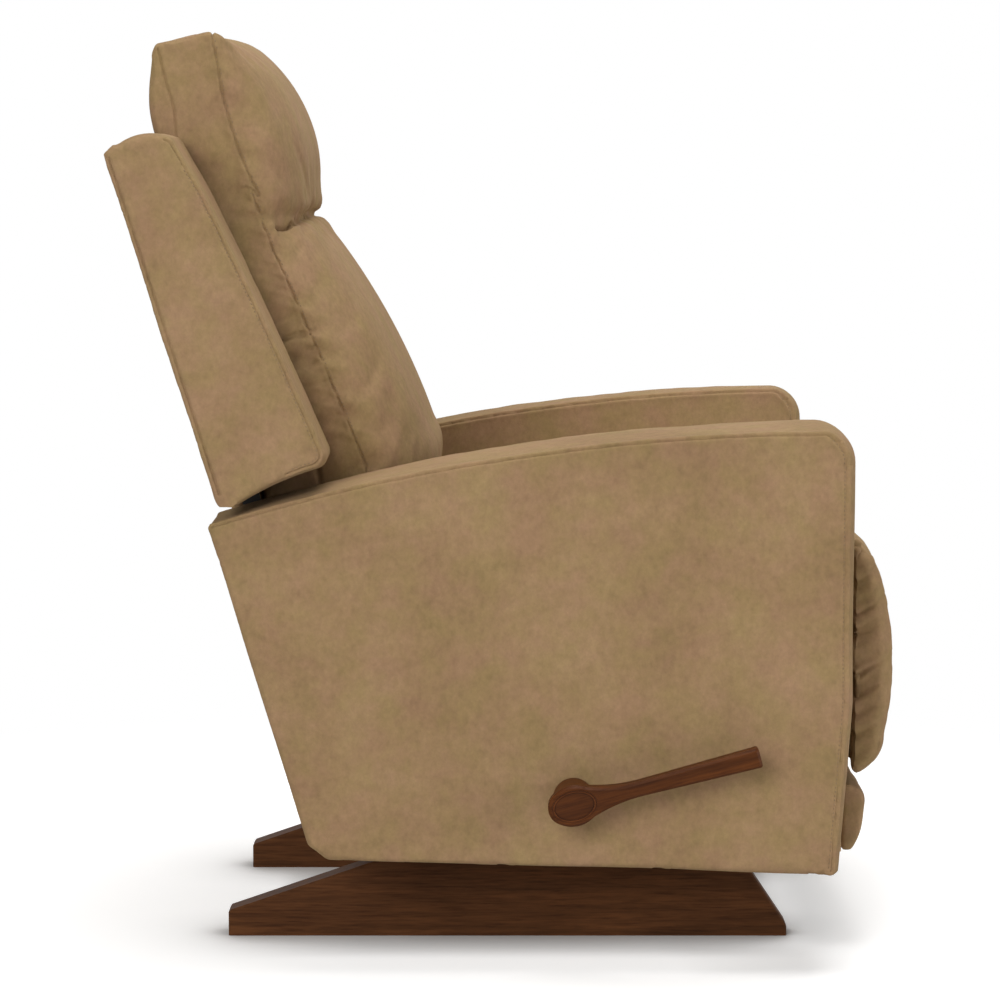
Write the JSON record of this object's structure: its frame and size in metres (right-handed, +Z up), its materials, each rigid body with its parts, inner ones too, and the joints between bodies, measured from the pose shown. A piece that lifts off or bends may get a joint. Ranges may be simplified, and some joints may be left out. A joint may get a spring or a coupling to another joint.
{
  "type": "rocker recliner chair",
  "caption": "Upholstered rocker recliner with padded arms, a winged back with pillow and lumbar cushion, a folding leg rest, a wooden pull lever and dark wooden base rails.",
  "frame": {"origin": "on the floor, under the middle of the chair's overall width and depth at rest", "axes": "+X the way the sitter faces, +Y to the sitter's left, +Z up"},
  "size_m": [0.8959, 0.8713, 1.0637],
  "materials": {
    "upholstery": "matte",
    "base_wood": "satin",
    "lever_wood": "satin",
    "frame_wood": "matte",
    "webbing": "matte",
    "mechanism_steel": "satin",
    "spring_steel": "satin"
  },
  "bodies": {
    "base": {"base_rail_left": "base_wood", "base_rail_right": "base_wood", "base_cross_front": "frame_wood", "base_cross_rear": "frame_wood", "lower_spring_seats": "mechanism_steel", "rocker_spring_rear_left": "spring_steel", "rocker_spring_rear_right": "spring_steel", "rocker_spring_front_left": "spring_steel", "rocker_spring_front_right": "spring_steel"},
    "chassis": {"arm_left": "upholstery", "arm_right": "upholstery", "arm_pad_left": "upholstery", "arm_pad_right": "upholstery", "arm_bolts": "mechanism_steel", "rocker_cam_left": "frame_wood", "rocker_cam_right": "frame_wood", "upper_spring_seats": "mechanism_steel", "mech_plate_left": "mechanism_steel", "mech_plate_right": "mechanism_steel", "cross_tube_front": "mechanism_steel", "cross_tube_rear": "mechanism_steel", "mechanism_pins": "mechanism_steel", "front_rail": "frame_wood", "front_valance": "upholstery", "rear_rail": "frame_wood", "rear_skirt": "upholstery"},
    "seat": {"seat_rail_left": "frame_wood", "seat_rail_right": "frame_wood", "seat_rail_front": "frame_wood", "seat_rail_rear": "frame_wood", "seat_webbing": "webbing", "seat_cushion": "upholstery"},
    "back": {"back_board": "frame_wood", "back_bracket_left": "mechanism_steel", "back_bracket_right": "mechanism_steel", "back_shell": "upholstery", "wing_left": "upholstery", "wing_right": "upholstery", "head_pillow": "upholstery", "lumbar_cushion": "upholstery"},
    "rear_links": {"rear_link_left": "mechanism_steel", "rear_link_right": "mechanism_steel", "rear_link_rivets": "mechanism_steel"},
    "front_links": {"front_link_left": "mechanism_steel", "front_link_right": "mechanism_steel"},
    "control": {"control_links": "mechanism_steel"},
    "pad_linkage": {"pad_links": "mechanism_steel"},
    "leg_rest": {"leg_board": "frame_wood", "leg_bracket_left": "mechanism_steel", "leg_bracket_right": "mechanism_steel", "leg_rest_pins": "mechanism_steel", "leg_pad": "upholstery"},
    "lever_set": {"lever": "lever_wood", "lever_boss": "lever_wood", "lever_medallion": "lever_wood", "drive_rod": "mechanism_steel", "drive_cranks": "mechanism_steel"},
    "drive": {"drive_links": "mechanism_steel"}
  },
  "joints": [
    {"name": "rock", "type": "hinge", "parent": "base", "child": "chassis", "pos_m": [0.025, 0.0255, 0.4943], "axis": [0, -1, 0], "range_deg": [-8, 8], "stiffness_Nm_per_rad": 300, "deforming": ["rocker_spring_rear_left", "rocker_spring_rear_right", "rocker_spring_front_left", "rocker_spring_front_right"]},
    {"name": "back_recline", "type": "hinge", "parent": "chassis", "child": "back", "pos_m": [-0.262, 0.0255, 0.425], "axis": [0, -1, 0], "range_deg": [0, 30]},
    {"name": "seat_tilt", "type": "hinge", "parent": "chassis", "child": "seat", "pos_m": [-0.195, 0.0255, 0.376], "axis": [0, -1, 0], "range_deg": [0, 4]},
    {"name": "leg_rest_fold", "type": "hinge", "parent": "chassis", "child": "rear_links", "pos_m": [0.195, 0.0255, 0.325], "axis": [0, -1, 0], "range_deg": [0, 87]},
    {"name": "front_link_fold", "type": "hinge", "parent": "rear_links", "child": "front_links", "pos_m": [0.24418, 0.0255, 0.14147], "axis": [0, 1, 0], "range_deg": [0, 143]},
    {"name": "pad_link_fold", "type": "hinge", "parent": "rear_links", "child": "pad_linkage", "pos_m": [0.22938, 0.0255, 0.10975], "axis": [0, 1, 0], "range_deg": [0, 143]},
    {"name": "leg_rest_turn", "type": "hinge", "parent": "front_links", "child": "leg_rest", "pos_m": [0.33033, 0.0255, 0.35473], "axis": [0, -1, 0], "range_deg": [0, 143]},
    {"name": "control_link_turn", "type": "hinge", "parent": "chassis", "child": "control", "pos_m": [0.12807, 0.0255, 0.33499], "axis": [0, -1, 0], "range_deg": [0, 80]},
    {"name": "lever_pull", "type": "hinge", "parent": "chassis", "child": "lever_set", "pos_m": [0.074, 0.0255, 0.202], "axis": [0, -1, 0], "range_deg": [0, 87]},
    {"name": "drive_link_turn", "type": "hinge", "parent": "lever_set", "child": "drive", "pos_m": [0.07886, 0.0255, 0.22958], "axis": [0, 1, 0], "range_deg": [0, 87]}
  ],
  "couplings": [
    {"joint": "seat_tilt", "follows": "back_recline", "ratio": 0.13333},
    {"joint": "front_link_fold", "follows": "leg_rest_fold", "ratio": 1.6437},
    {"joint": "pad_link_fold", "follows": "leg_rest_fold", "ratio": 1.6437},
    {"joint": "leg_rest_turn", "follows": "leg_rest_fold", "ratio": 1.6437},
    {"joint": "control_link_turn", "follows": "leg_rest_fold", "ratio": 0.91507},
    {"joint": "lever_pull", "follows": "leg_rest_fold", "ratio": 1},
    {"joint": "drive_link_turn", "follows": "leg_rest_fold", "ratio": 1}
  ]
}
